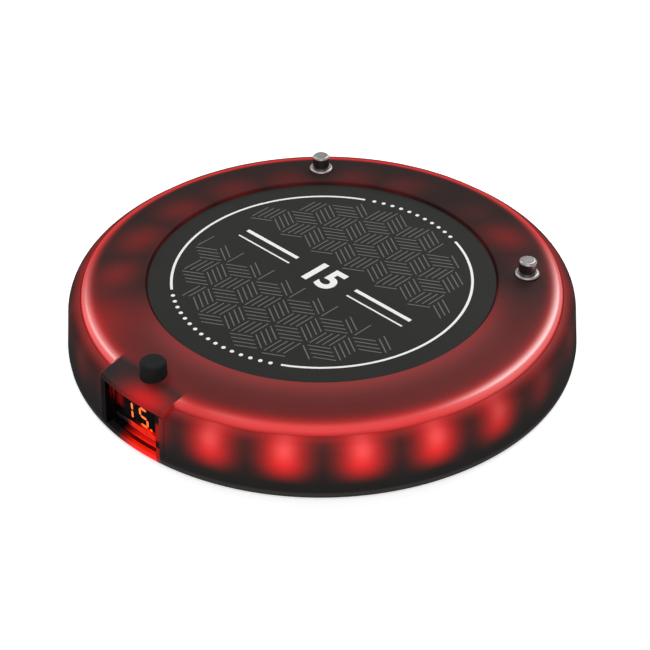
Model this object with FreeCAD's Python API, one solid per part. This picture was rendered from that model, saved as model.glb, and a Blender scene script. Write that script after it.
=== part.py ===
import FreeCAD, Part
import math
import os

# A coaster-shaped guest pager. Millimetres, +Z up, origin at the centre of the underside.
# The display window looks along -Y; the two contact pins stand at the back.

# Housing outline
body_radius = 54.0
body_bottom_round = 0.7
foot_step = 0.1
foot_height = 1.0
parting_height = 0.8
wall_taper = 0.7
wall_top_height = 9.6
wall_thickness = 2.0
shoulder_radius = 3.2
shoulder_sweep_deg = 80.0
crease_width = 0.3
lip_round = 1.4
deck_slope_deg = 5.0
deck_band = 12.2
deck_thickness = 1.55
rim_round = 0.4
inner_round_extra = 0.3

# Label and its recess
label_depth = 0.75
label_thickness = 0.6
label_gap = 0.3
label_floor = 1.5
label_edge_chamfer = 0.12
recess_wall_foot = 2.4
recess_wall_top = 3.2

# Base cover
floor_thickness = 1.4
underside_recess_radius = 34.0
underside_recess_depth = 0.3
spigot_height = 1.0
spigot_width = 1.4
spigot_clearance = 0.1

# Circuit board
board_gap = 1.5
board_thickness = 1.2
board_edge_gap = 1.7
layout_board_radius = 49.6
tongue_gap = 0.4
tongue_reach = 0.1

# Screws and the posts that hold the board
screw_count = 5
post_radius = 3.4
post_inset = 13.3
screw_radius = 1.1
screw_hole_clearance = 0.15
screw_thread_clearance = 0.02
screw_head_radius = 1.95
screw_head_height = 1.3
screw_head_pocket_radius = 2.3
screw_seat_height = 1.5
screw_end_gap = 0.9
screw_slot_width = 0.45
screw_slot_depth = 0.6
screw_tip_chamfer = 0.4

# Display window and the brow above it
brow_half_width = 9.3
brow_back = 1.1
brow_drop = 1.15
brow_reach = 4.95
brow_edge_round = 0.55
window_half_width = 7.5
window_sill = 1.9
window_lintel = 0.95
window_side_gap = 0.4
lens_thickness = 1.2
lens_clearance = 0.1
lens_ledge = 0.6
rib_thickness = 0.9
rib_gap = 0.3

# Display
display_width = 12.4
display_height = 5.9
display_depth = 2.0
display_lens_gap = 0.9
display_offset = -0.5
digit_height = 4.6
digit_width = 2.7
digit_pitch = 4.5
segment_width = 0.6
segment_gap = 0.12
segment_depth = 0.3

# Push button behind the window, with its switch
button_inset = 7.4
button_radius = 2.7
button_stand = 3.2
button_round = 0.6
button_travel = 0.5
button_running_gap = 0.07
button_flange_radius = 3.3
button_flange_thickness = 0.7
button_stem_radius = 1.5
button_stem_length = 0.8
button_guide_radius = 4.3
button_guide_depth = 2.1
button_stop_gap = 0.04
switch_width = 4.4
switch_body_height = 3.6
switch_plunger_radius = 1.2
switch_running_gap = 0.06

# Contact pins
pin_spread_deg = 45.0
collar_radius = 2.65
collar_height = 0.8
collar_round = 0.45
collar_fit_gap = 0.1
collar_seat_depth = 0.2
barrel_radius = 2.45
barrel_fit_gap = 0.03
barrel_wall = 0.3
barrel_floor = 0.8
plunger_radius = 1.875
plunger_running_gap = 0.05
plunger_flange_radius = 2.1
plunger_flange_height = 1.4
plunger_travel = 1.5
plunger_pressed_stand = 1.5
plunger_round = 0.55
plunger_neck_radius = 1.65
plunger_stop_gap = 0.02
barrel_tail_radius = 0.6
barrel_guide_radius = 4.0
barrel_guide_depth = 4.2
spring_wire_radius = 0.175
spring_turns = 7
spring_side_gap = 0.2

# Charge pads and the sockets in the underside
pad_radius = 2.8
pad_thickness = 0.5
socket_radius = 3.2
socket_wall = 1.1
key_socket_radius = 3.0
key_socket_depth = 1.65
key_socket_ceiling = 0.9

# Rim lights
led_first_deg = 20.0
led_pitch_deg = 16.0
led_width = 3.4
led_length = 2.8
led_height = 1.9
led_bowl_mouth = 1.15
led_bowl_floor = 0.7
led_bowl_depth = 0.5
led_inset = 3.8
resistor_length = 1.8
resistor_width = 0.9
resistor_height = 0.5
resistor_inset = 6.8

# Battery
battery_length = 42.0
battery_width = 30.0
battery_height = 5.4
battery_centre_y = 4.0
battery_corner = 2.0
foam_thickness = 0.5
foam_margin = 4.0
lead_radius = 0.5
connector_length = 8.0
connector_width = 5.6
connector_height = 3.8
connector_wall = 0.8
connector_x = 17.0
connector_y = 26.0
connector_fit_gap = 0.1
connector_floor = 1.0
plug_stand = 0.8

# Vibration motor
motor_radius = 3.0
motor_length = 11.0
motor_y = 28.0
motor_back_x = -9.0
motor_rise = 3.9
motor_shaft_radius = 0.4
motor_shaft_gap = 0.05
motor_shaft_depth = 4.0
motor_bush_radius = 1.1
motor_bush_length = 0.7
weight_radius = 3.2
weight_length = 4.0
weight_hub_radius = 1.1
weight_gap = 0.4
cradle_length = 8.0
cradle_half_width = 3.9
motor_lead_radius = 0.35

# Radio, antenna, sounder and chips
antenna_coil_radius = 2.4
antenna_wire_radius = 0.4
antenna_pitch = 2.0
antenna_turns = 8
antenna_x = 32.5
antenna_start_y = -15.0
shield_length = 15.0
shield_width = 12.0
shield_height = 2.6
shield_wall = 0.3
shield_corner = 0.6
shield_x = -9.5
shield_y = -20.5
radio_chip_side = 6.0
radio_chip_height = 1.0
sounder_radius = 6.0
sounder_height = 5.2
sounder_x = -30.0
sounder_y = -10.0
sound_hole_radius = 1.0
sounder_round = 0.4
control_chip_side = 7.0
control_chip_height = 1.3
control_chip_x = 10.0
control_chip_y = -20.5
chip_leg_width = 0.4
chip_leg_pitch = 0.9
chip_leg_reach = 1.0
chip_leg_thickness = 0.2
driver_chip_length = 5.0
driver_chip_width = 3.9
driver_chip_x = 26.0
driver_chip_y = -21.5
crystal_length = 10.5
crystal_width = 4.4
crystal_height = 3.4
crystal_x = 10.5
crystal_y = -30.5
capacitor_radius = 2.5
capacitor_height = 5.4
capacitor_count = 3
capacitor_pitch = 6.4
capacitor_x = -13.0
capacitor_y = -31.5

V = FreeCAD.Vector
os.makedirs("parts", exist_ok=True)


def save(shape, name):
    shape.exportStep("parts/%s.step" % name)


def revolve(start, *steps):
    # Each step is a line to (r, z), or an arc through (r, z) to (r, z).
    edges = []
    here = start
    for step in list(steps) + [start]:
        end = step[-2:]
        a = V(here[0], 0, here[1])
        b = V(end[0], 0, end[1])
        if a.distanceToPoint(b) < 1e-7:
            continue
        if len(step) == 2:
            edges.append(Part.makeLine(a, b))
        else:
            edges.append(Part.Arc(a, V(step[0], 0, step[1]), b).toShape())
        here = end
    face = Part.Face(Part.Wire(edges))
    return face.revolve(V(0, 0, 0), V(0, 0, 1), 360)


def cylinder(x, y, z0, z1, radius):
    return Part.makeCylinder(radius, z1 - z0, V(x, y, z0))


def box(x0, x1, y0, y1, z0, z1):
    return Part.makeBox(x1 - x0, y1 - y0, z1 - z0, V(x0, y0, z0))


def centred_box(x, y, length, width, z0, z1):
    return box(x - length / 2, x + length / 2, y - width / 2, y + width / 2, z0, z1)


def rounded_box(x, y, length, width, z0, z1, corner):
    solid = centred_box(x, y, length, width, z0, z1)
    upright = [e for e in solid.Edges if abs(e.Vertexes[0].Z - e.Vertexes[1].Z) > 1e-6]
    return solid.makeFillet(corner, upright)


def merge(shapes):
    whole = shapes[0]
    if len(shapes) > 1:
        whole = whole.multiFuse(shapes[1:])
    return whole.removeSplitter()


def cut(shape, tools):
    return shape.cut(tools)


def turned(shape, degrees):
    copy = shape.copy()
    copy.rotate(V(0, 0, 0), V(0, 0, 1), degrees)
    return copy


def moved(shape, x, y, z):
    copy = shape.copy()
    copy.translate(V(x, y, z))
    return copy


def tube_along(points, radius):
    curve = Part.BSplineCurve()
    curve.interpolate([V(*p) for p in points])
    path = Part.Wire(curve.toShape())
    start = path.Edges[0].valueAt(path.Edges[0].FirstParameter)
    heading = path.Edges[0].tangentAt(path.Edges[0].FirstParameter)
    ring = Part.Wire(Part.makeCircle(radius, start, heading))
    return path.makePipeShell([ring], True, False)


def bend(a, corner, b):
    # The arc that leaves a towards the corner and comes to b from it.
    flat = (a - b).Length / 2 / (corner - a).Length
    middle = (a + b) * 0.5
    return Part.Arc(a, middle + (corner - middle) * (flat / (1 + flat)), b).toShape()


def coil(mean_radius, wire_radius, pitch, turns):
    # Axis along Z from z = 0, first wire centre on +X. Each half turn is two arcs in line
    # with each other where they meet.
    rise = pitch / (2 * math.pi)
    path = []
    for i in range(2 * turns):
        ends = []
        for t in (math.pi * i, math.pi * (i + 1)):
            place = V(mean_radius * math.cos(t), mean_radius * math.sin(t), rise * t)
            heading = V(-mean_radius * math.sin(t), mean_radius * math.cos(t), rise)
            ends.append((place, heading.normalize()))
        (a, leaving), (b, arriving) = ends
        span = b - a
        along = span.dot(leaving + arriving)
        facing = 2 * (1 - leaving.dot(arriving))
        reach = (math.sqrt(along * along + facing * span.dot(span)) - along) / facing
        first_corner = a + leaving * reach
        second_corner = b - arriving * reach
        meeting = (first_corner + second_corner) * 0.5
        path.append(bend(a, first_corner, meeting))
        path.append(bend(meeting, second_corner, b))
    start = path[0].valueAt(path[0].FirstParameter)
    ring = Part.Wire(Part.makeCircle(wire_radius, start, path[0].tangentAt(path[0].FirstParameter)))
    return Part.Wire(path).makePipeShell([ring], True, False)


def around(radius, degrees_from_front):
    # A point on a circle, counted from the window side (-Y) towards +X.
    a = math.radians(degrees_from_front)
    return radius * math.sin(a), -radius * math.cos(a)


# Levels and radii that follow from the sizes above
wall_top_radius = body_radius - wall_taper
wall_inner_radius = body_radius - wall_taper - wall_thickness
sweep = math.radians(shoulder_sweep_deg)
shoulder_centre = wall_top_radius - shoulder_radius
crease_outer = shoulder_centre + shoulder_radius * math.cos(sweep)
crease_height = wall_top_height + shoulder_radius * math.sin(sweep)
crease_radius = crease_outer - crease_width
lip_centre = crease_radius - lip_round
lean = math.radians(deck_slope_deg)
lip_top_radius = lip_centre + lip_round * math.sin(lean)
lip_top = crease_height + lip_round * math.cos(lean)
recess_radius = lip_top_radius - deck_band


def deck_height(radius):
    return lip_top + (lip_top_radius - radius) * math.tan(lean)


rim_height = deck_height(recess_radius + rim_round)
label_top = rim_height - label_depth
label_seat = label_top - label_thickness
ceiling = label_seat - label_floor
deck_under = deck_height(lip_top_radius) - deck_thickness
board_bottom = floor_thickness + board_gap
board_top = board_bottom + board_thickness
board_radius = wall_inner_radius - board_edge_gap
post_circle = wall_inner_radius - post_inset

# The parts on the board keep their places in proportion, whatever the size of the board.
spread = board_radius / layout_board_radius

pin_circle = (recess_radius + lip_top_radius) / 2
button_y = button_inset - body_radius

post_places = []
for i in range(screw_count):
    post_places.append(around(post_circle, 180 + 360 * i / screw_count))
pin_places = [around(pin_circle, 180 - pin_spread_deg), around(pin_circle, 180 + pin_spread_deg)]

# Top housing: the outside of the side wall, shoulder, creased lip and domed deck,
# down to the seat of the label.
half_sweep = sweep / 2
foot_radius = body_radius - foot_step
mid_lip = math.radians(45)
outside = revolve(
    (0, parting_height),
    (foot_radius, parting_height),
    (body_radius, parting_height + foot_height),
    (wall_top_radius, wall_top_height),
    (shoulder_centre + shoulder_radius * math.cos(half_sweep),
     wall_top_height + shoulder_radius * math.sin(half_sweep),
     crease_outer, crease_height),
    (crease_radius, crease_height - crease_width / 2),
    (crease_radius, crease_height),
    (lip_centre + lip_round * math.cos(mid_lip), crease_height + lip_round * math.sin(mid_lip),
     lip_top_radius, lip_top),
    (recess_radius + rim_round, rim_height),
    (recess_radius + rim_round * 0.3, rim_height - rim_round * 0.3,
     recess_radius, rim_height - rim_round),
    (recess_radius, label_seat),
    (0, label_seat),
)

# Over the window the lip gives way to a brow that slopes out to an upright front.
brow_start = lip_top_radius - brow_back
brow_end = brow_start + brow_reach
brow_top = deck_height(brow_start)
brow_front = brow_end + brow_edge_round
brow_low = brow_top - brow_drop


def brow_outline(inset):
    return revolve(
        (0, parting_height),
        (foot_radius - inset, parting_height),
        (body_radius - inset, parting_height + foot_height),
        (brow_front - inset, brow_low - brow_edge_round),
        (brow_end + brow_edge_round * 0.72 - inset, brow_low - brow_edge_round * 0.3,
         brow_end - inset, brow_low),
        (brow_start, brow_top),
        (recess_radius + rim_round, rim_height),
        (0, rim_height),
    )


window_zone = box(-brow_half_width, brow_half_width, -body_radius - 5, -recess_radius - 2, -1, rim_height + 5)
outside = merge([cut(outside, [window_zone]), brow_outline(0).common(window_zone)])

# The hollow inside the housing.
inner_round = shoulder_radius + inner_round_extra
inner_centre = wall_inner_radius - inner_round
inner_rise = deck_under - inner_round
hollow = revolve(
    (0, -1),
    (wall_inner_radius, -1),
    (wall_inner_radius, inner_rise),
    (inner_centre + inner_round * math.sin(mid_lip), inner_rise + inner_round * math.cos(mid_lip),
     inner_centre, deck_under),
    (recess_radius + recess_wall_top, deck_under),
    (recess_radius + recess_wall_foot, ceiling),
    (0, ceiling),
)
window_top = brow_low - window_lintel
pocket_half = window_half_width + window_side_gap
pocket_front = -wall_inner_radius + 0.05
window_pocket = box(-pocket_half, pocket_half, pocket_front, -inner_centre, board_top, window_top)
housing = cut(outside, [hollow, window_pocket])

# Posts for the screws, guides for the contact barrels and for the button, and the two ribs
# that keep the rim lights away from the display.
additions = []
for x, y in post_places:
    additions.append(cylinder(x, y, board_top, ceiling + 0.5, post_radius))
barrel_guide_low = deck_under + deck_thickness - barrel_guide_depth
for x, y in pin_places:
    additions.append(cylinder(x, y, barrel_guide_low, deck_under + 0.3, barrel_guide_radius))
guide_bottom = deck_height(-button_y) - deck_thickness / 2 - button_guide_depth
button_guide = cylinder(0, button_y, guide_bottom, deck_height(-button_y) - 1.0, button_guide_radius)
button_guide = button_guide.common(brow_outline(wall_thickness))
additions.append(button_guide)
rib_back = button_y + button_guide_radius - 1.0
rib_low = board_top + rib_gap
for side in (-1, 1):
    rib_x = side * (pocket_half + rib_thickness / 2)
    rib_front = -wall_inner_radius - 0.2
    rib_middle = (rib_front + rib_back) / 2
    rib_long = rib_back - rib_front
    rib = centred_box(rib_x, rib_middle, rib_thickness, rib_long, rib_low, deck_under + 0.3)
    additions.append(rib.common(brow_outline(wall_thickness / 2)))
housing = merge([housing] + additions)

# Window opening with a ledge behind the lens.
ledge_radius = brow_front - lens_thickness - lens_clearance
half = window_half_width
lens_zone = box(-half, half, -body_radius - 5, -button_inset, window_sill, window_top)
lens_seat = cylinder(0, 0, -1, rim_height + 5, ledge_radius)
opening = lens_zone.cut(lens_seat)
inner_opening = box(
    -window_half_width + lens_ledge,
    window_half_width - lens_ledge,
    -body_radius - 5,
    -wall_inner_radius + 1.0,
    window_sill + lens_ledge,
    window_top - lens_ledge,
)
removals = [opening, inner_opening]

screw_tip = ceiling - screw_end_gap
for x, y in post_places:
    removals.append(cylinder(x, y, board_top - 1, screw_tip + 0.4, screw_radius + screw_thread_clearance))
collar_seat = deck_height(pin_circle) - collar_seat_depth
for x, y in pin_places:
    removals.append(cylinder(x, y, board_top, rim_height + 5, barrel_radius + barrel_fit_gap))
    removals.append(cylinder(x, y, collar_seat, rim_height + 5, collar_radius + collar_fit_gap))
removals.append(cylinder(0, button_y, guide_bottom - 1, rim_height + 5, button_radius + button_running_gap))
save(cut(housing, removals), "top_housing")

# Label disc, lying in the recess of the deck with a narrow gap round it.
label = cylinder(0, 0, label_seat, label_top, recess_radius - label_gap)
top_edge = [e for e in label.Edges if e.BoundBox.ZMin > label_top - 1e-4]
save(label.makeChamfer(label_edge_chamfer, top_edge), "label_disc")

# Clear lens, curved like the wall and seated on the ledge.
lens_block = box(
    -window_half_width + lens_clearance,
    window_half_width - lens_clearance,
    -body_radius - 5,
    -button_inset,
    window_sill + lens_clearance,
    window_top - lens_clearance,
)
lens = lens_block.common(brow_outline(lens_clearance)).cut(lens_seat)
save(lens, "window_lens")

# Base cover: flat underside, rounded bottom edge, a spigot inside the wall, board posts,
# two contact sockets and a blind socket for the button of the pager below.
spigot_outer = wall_inner_radius - spigot_clearance
spigot_top = floor_thickness + spigot_height
edge_in = foot_radius - body_bottom_round
base = revolve(
    (0, underside_recess_depth),
    (underside_recess_radius, underside_recess_depth),
    (underside_recess_radius + underside_recess_depth, 0),
    (edge_in, 0),
    (edge_in + body_bottom_round * 0.7071, body_bottom_round * 0.2929,
     foot_radius, body_bottom_round),
    (foot_radius, parting_height),
    (spigot_outer, parting_height),
    (spigot_outer, spigot_top),
    (spigot_outer - spigot_width, spigot_top),
    (spigot_outer - spigot_width, floor_thickness),
    (0, floor_thickness),
)
key_top = key_socket_depth + key_socket_ceiling
additions = []
removals = []
for x, y in post_places:
    additions.append(cylinder(x, y, floor_thickness - 0.5, board_bottom, post_radius))
    removals.append(cylinder(x, y, -1, board_bottom + 1, screw_radius + screw_hole_clearance))
    removals.append(cylinder(x, y, -1, screw_seat_height, screw_head_pocket_radius))
for x, y in pin_places:
    boss_top = board_bottom - pad_thickness
    additions.append(cylinder(x, y, floor_thickness - 0.5, boss_top, socket_radius + socket_wall))
    removals.append(cylinder(x, y, -1, board_bottom + 1, socket_radius))
key_block = cylinder(0, button_y, floor_thickness - 0.5, key_top, key_socket_radius + socket_wall)
additions.append(key_block.common(cylinder(0, 0, -1, key_top + 1, spigot_outer)))
removals.append(cylinder(0, button_y, -1, key_socket_depth, key_socket_radius))
save(cut(merge([base] + additions), removals), "base_cover")

# Housing screws: pan heads in pockets of the underside, shanks up into the housing posts.
screws = []
for x, y in post_places:
    head = cylinder(x, y, screw_seat_height - screw_head_height, screw_seat_height, screw_head_radius)
    low_edge = [e for e in head.Edges if e.BoundBox.ZMax < screw_seat_height - screw_head_height + 1e-4]
    head = head.makeFillet(screw_head_height * 0.35, low_edge)
    slot_z = screw_seat_height - screw_head_height
    across = screw_head_radius * 1.1
    for length, width in ((across, screw_slot_width), (screw_slot_width, across)):
        head = head.cut(centred_box(x, y, length, width, slot_z - 1, slot_z + screw_slot_depth))
    shank = cylinder(x, y, screw_seat_height - 0.2, screw_tip, screw_radius)
    tip_edge = [e for e in shank.Edges if e.BoundBox.ZMin > screw_tip - 1e-4]
    screws.append(merge([head, shank.makeChamfer(screw_tip_chamfer, tip_edge)]))
save(Part.makeCompound(screws), "housing_screws")

# Main circuit board, with a tongue that reaches into the window opening.
tongue_half = window_half_width - lens_ledge - tongue_gap
board = cylinder(0, 0, board_bottom, board_top, board_radius)
display_front = ledge_radius - display_lens_gap
tongue_end = -display_front - tongue_reach
tongue = box(-tongue_half, tongue_half, tongue_end, -board_radius / 2, board_bottom, board_top)
board = merge([board, tongue])
removals = []
for x, y in post_places:
    removals.append(cylinder(x, y, 0, board_top + 1, screw_radius + screw_hole_clearance))
for x, y in pin_places:
    removals.append(cylinder(x, y, 0, board_top + 1, barrel_tail_radius + barrel_fit_gap))
save(cut(board, removals), "main_circuit_board")

# Rim lights: square packages with a shallow round bowl, at equal steps all round the rim
# except across the window. One chip resistor stands between each pair.
led_circle = wall_inner_radius - led_inset
led_steps = int((180 - led_first_deg) / led_pitch_deg + 1e-6)
led_angles = []
for i in range(led_steps + 1):
    angle = led_first_deg + led_pitch_deg * i
    led_angles.append(angle)
    if angle < 180 - 1e-6:
        led_angles.append(-angle)
led_top = board_top + led_height
package = centred_box(0, -led_circle, led_width, led_length, board_top, led_top)
bowl_base = V(0, -led_circle, led_top - led_bowl_depth)
bowl = Part.makeCone(led_bowl_floor, led_bowl_mouth, led_bowl_depth, bowl_base)
package = package.cut(bowl)
save(Part.makeCompound([turned(package, a) for a in led_angles]), "rim_leds")

resistor_circle = wall_inner_radius - resistor_inset
resistor_top = board_top + resistor_height
resistor = centred_box(0, -resistor_circle, resistor_width, resistor_length, board_top, resistor_top)
resistors = []
for i in range(led_steps):
    angle = led_first_deg + led_pitch_deg * (i + 0.5)
    resistors.append(turned(resistor, angle))
    resistors.append(turned(resistor, -angle))
save(Part.makeCompound(resistors), "chip_resistors")

# Display module standing on the board behind the lens, with its lit bars let into the face.
face_y = -display_front
display_x0 = display_offset - display_width / 2
display_top = board_top + display_height
display = box(display_x0, display_x0 + display_width, face_y, face_y + display_depth, board_top, display_top)
digit_base = board_top + (display_height - digit_height) / 2


def bar(x0, z0, x1, z1):
    # A six-sided bar between two points of the face, pointed at both ends.
    half = segment_width / 2
    length = math.hypot(x1 - x0, z1 - z0)
    ux, uz = (x1 - x0) / length, (z1 - z0) / length
    near = segment_gap
    far = length - segment_gap
    outline = []
    for along, aside in ((near, 0), (near + half, half), (far - half, half),
                         (far, 0), (far - half, -half), (near + half, -half), (near, 0)):
        outline.append(V(x0 + ux * along - uz * aside, face_y, z0 + uz * along + ux * aside))
    wire = Part.makePolygon(outline)
    return Part.Face(wire).extrude(V(0, segment_depth, 0))


def digit(centre_x, lit):
    left = centre_x - digit_width / 2 + segment_width / 2
    right = centre_x + digit_width / 2 - segment_width / 2
    low = digit_base + segment_width / 2
    high = digit_base + digit_height - segment_width / 2
    middle = (low + high) / 2
    places = {
        "top": (left, high, right, high),
        "upper_right": (right, middle, right, high),
        "lower_right": (right, low, right, middle),
        "bottom": (left, low, right, low),
        "lower_left": (left, low, left, middle),
        "upper_left": (left, middle, left, high),
        "centre": (left, middle, right, middle),
    }
    return [bar(*places[name]) for name in lit]


bars = digit(display_offset - digit_pitch / 2, ["upper_right", "lower_right"])
bars += digit(display_offset + digit_pitch / 2, ["top", "upper_left", "centre", "lower_right", "bottom"])
dot_x = display_offset + digit_pitch / 2 + digit_width / 2 + 0.75
dot_place = V(dot_x, face_y, digit_base + segment_width / 2)
dot = Part.makeCylinder(segment_width / 2, segment_depth, dot_place, V(0, 1, 0))
bars.append(dot)
save(cut(display, bars), "display_module")
save(Part.makeCompound(bars), "lit_segments")

# Push button: cap through the deck, flange under its guide, stem on the switch plunger.
button_top = deck_height(-button_y) + button_stand
flange_top = guide_bottom - button_stop_gap
flange_low = flange_top - button_flange_thickness
stem_low = flange_low - button_stem_length
cap = cylinder(0, button_y, flange_low, button_top, button_radius)
cap_edge = [e for e in cap.Edges if e.BoundBox.ZMin > button_top - 1e-4]
cap = cap.makeFillet(button_round, cap_edge)
flange = cylinder(0, button_y, flange_low, flange_top, button_flange_radius)
stem = cylinder(0, button_y, stem_low, flange_low + 0.2, button_stem_radius)
save(merge([cap, flange, stem]), "push_button")

# Tact switch under the button: a square body and the plunger that the stem presses.
switch_top = board_top + switch_body_height
switch = rounded_box(0, button_y, switch_width, switch_width, board_top, switch_top, 0.4)
plunger_low = switch_top - button_travel - 0.4
well_radius = switch_plunger_radius + switch_running_gap
well = cylinder(0, button_y, plunger_low - button_travel - 0.1, switch_top + 1, well_radius)
save(switch.cut(well), "tact_switch_body")
save(cylinder(0, button_y, plunger_low, stem_low, switch_plunger_radius), "tact_switch_plunger")

# Contact barrels: a domed collar on the deck, a tube down to the board and a solder tail.
barrel_bore = barrel_radius - barrel_wall
bore_floor = board_top + barrel_floor
collar_top = collar_seat + collar_height
mouth_radius = plunger_radius + plunger_running_gap
stop_height = collar_seat - 0.2
barrel = revolve(
    (0, board_bottom),
    (barrel_tail_radius, board_bottom),
    (barrel_tail_radius, board_top),
    (barrel_radius, board_top),
    (barrel_radius, collar_seat),
    (collar_radius, collar_seat),
    (collar_radius, collar_top - collar_round),
    (collar_radius - collar_round * 0.2929, collar_top - collar_round * 0.2929,
     collar_radius - collar_round, collar_top),
    (mouth_radius, collar_top),
    (mouth_radius, stop_height),
    (barrel_bore, stop_height),
    (barrel_bore, bore_floor),
    (0, bore_floor),
)
save(Part.makeCompound([moved(barrel, x, y, 0) for x, y in pin_places]), "contact_barrels")

# Contact plungers: a head with a rounded tip that stands out of the barrel, a thinner neck
# inside its mouth, and a wider flange held under the mouth.
plunger_top = collar_top + plunger_travel + plunger_pressed_stand
shoulder_top = stop_height - plunger_stop_gap
shoulder_low = shoulder_top - plunger_flange_height
plunger = revolve(
    (0, shoulder_low),
    (plunger_flange_radius, shoulder_low),
    (plunger_flange_radius, shoulder_top),
    (plunger_neck_radius, shoulder_top),
    (plunger_neck_radius, collar_top),
    (plunger_radius, collar_top),
    (plunger_radius, plunger_top - plunger_round),
    (plunger_radius - plunger_round * 0.2929, plunger_top - plunger_round * 0.2929,
     plunger_radius - plunger_round, plunger_top),
    (0, plunger_top),
)
spring_length = shoulder_low - bore_floor
spring_radius = barrel_bore - spring_side_gap - spring_wire_radius
spring_pitch = (spring_length - 2 * spring_wire_radius) / spring_turns
spring = coil(spring_radius, spring_wire_radius, spring_pitch, spring_turns)
for name, (x, y) in zip(("right", "left"), pin_places):
    save(moved(plunger, x, y, 0), name + "_contact_plunger")
    save(moved(spring, x, y, bore_floor + spring_wire_radius), name + "_contact_spring")

# Charge pads: round plates under the board, seen up the sockets of the base cover.
pads = [cylinder(x, y, board_bottom - pad_thickness, board_bottom, pad_radius) for x, y in pin_places]
save(Part.makeCompound(pads), "charge_pads")

# Battery on its foam pad, with two leads to a plug in a socket on the board.
battery_long = battery_length * spread
battery_wide = battery_width * spread
battery_y = battery_centre_y * spread
plug_x = connector_x * spread
plug_y = connector_y * spread
battery_low = board_top + foam_thickness
battery_top = battery_low + battery_height
battery = rounded_box(0, battery_y, battery_long, battery_wide, battery_low, battery_top, battery_corner)
save(battery, "battery_cell")
foam = centred_box(
    0, battery_y, battery_long - 2 * foam_margin, battery_wide - 2 * foam_margin, board_top, battery_low
)
save(foam, "battery_foam_pad")
socket_top = board_top + connector_height
socket_floor = board_top + connector_floor
socket = centred_box(plug_x, plug_y, connector_length, connector_width, board_top, socket_top)
plug_length = connector_length - 2 * connector_wall
plug_width = connector_width - 2 * connector_wall
socket = socket.cut(centred_box(plug_x, plug_y, plug_length, plug_width, socket_floor, socket_top + 1))
save(socket, "battery_socket")
plug_top = socket_top + plug_stand
plug = centred_box(
    plug_x,
    plug_y,
    plug_length - 2 * connector_fit_gap,
    plug_width - 2 * connector_fit_gap,
    socket_floor,
    plug_top,
)
save(plug, "battery_plug")
battery_edge = battery_y + battery_wide / 2
lead_z = (battery_low + battery_top) / 2
leads = []
for offset in (-1.3, 1.3):
    x = plug_x + offset
    lift = plug_top + 1.5
    leads.append(tube_along([
        (x - 1.0, battery_edge, lead_z),
        (x - 1.0, battery_edge + 1.0, lead_z + 0.3),
        (x - 0.6, battery_edge + 2.4, lift - 0.6),
        (x - 0.2, (battery_edge + plug_y) / 2 + 1.3, lift),
        (x, plug_y - 0.4, lift - 0.5),
        (x, plug_y, plug_top),
    ], lead_radius).cut([battery, plug]))
save(Part.makeCompound(leads), "battery_leads")

# Vibration motor lying across the back: can, rubber cradle, leads, and the off-centre weight
# that turns with the shaft.
motor_z = board_top + motor_rise
shaft_y = motor_y * spread
can_x0 = motor_back_x * spread
can_x1 = can_x0 + motor_length


def along_x(radius, x0, x1):
    return Part.makeCylinder(radius, x1 - x0, V(x0, shaft_y, motor_z), V(1, 0, 0))


can = along_x(motor_radius, can_x0, can_x1)
can = merge([can, along_x(motor_bush_radius, can_x1 - 0.5, can_x1 + motor_bush_length)])
shaft_start = can_x1 - motor_shaft_depth
shaft_bore = along_x(motor_shaft_radius + motor_shaft_gap, shaft_start - 0.1, can_x1 + motor_bush_length + 1)
save(can.cut(shaft_bore), "vibration_motor_can")
weight_x0 = can_x1 + motor_bush_length + weight_gap
weight_x1 = weight_x0 + weight_length
half_disc = along_x(weight_radius, weight_x0, weight_x1)
upper_half = box(weight_x0 - 1, weight_x1 + 1, shaft_y - 10, shaft_y + 10, motor_z, motor_z + 10)
half_disc = half_disc.cut(upper_half)
hub = along_x(weight_hub_radius, weight_x0, weight_x1)
shaft = along_x(motor_shaft_radius, shaft_start, weight_x1 + 0.4)
save(merge([half_disc, hub, shaft]), "motor_eccentric_weight")
cradle_x0 = can_x0 + (motor_length - cradle_length) / 2
cradle = centred_box(
    cradle_x0 + cradle_length / 2, shaft_y, cradle_length, 2 * cradle_half_width, board_top, motor_z
)
save(cradle.cut(along_x(motor_radius, can_x0, can_x1)), "motor_cradle")
motor_leads = []
for offset in (-0.9, 0.9):
    y = shaft_y + offset
    motor_leads.append(tube_along([
        (can_x0, y, motor_z + 0.8),
        (can_x0 - 1.2, y, motor_z + 0.6),
        (can_x0 - 2.6, y, board_top + 2.4),
        (can_x0 - 2.9, y, board_top),
    ], motor_lead_radius).cut([can, board]))
save(Part.makeCompound(motor_leads), "motor_leads")

# Antenna: an open wire coil lying on the board.
antenna = coil(antenna_coil_radius, antenna_wire_radius, antenna_pitch, antenna_turns)
antenna.rotate(V(0, 0, 0), V(1, 0, 0), -90)
antenna_z = board_top + antenna_coil_radius + antenna_wire_radius
save(moved(antenna, antenna_x * spread, antenna_start_y * spread, antenna_z), "antenna_coil")

# Radio: a folded shield can over the radio chip.
radio_x = shield_x * spread
radio_y = shield_y * spread
shield_top = board_top + shield_height
shield = rounded_box(radio_x, radio_y, shield_length, shield_width, board_top, shield_top, shield_corner)
shield = shield.cut(centred_box(
    radio_x,
    radio_y,
    shield_length - 2 * shield_wall,
    shield_width - 2 * shield_wall,
    board_top - 1,
    shield_top - shield_wall,
))
save(shield, "radio_shield_can")
chip_top = board_top + radio_chip_height
save(centred_box(radio_x, radio_y, radio_chip_side, radio_chip_side, board_top, chip_top), "radio_chip")

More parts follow.
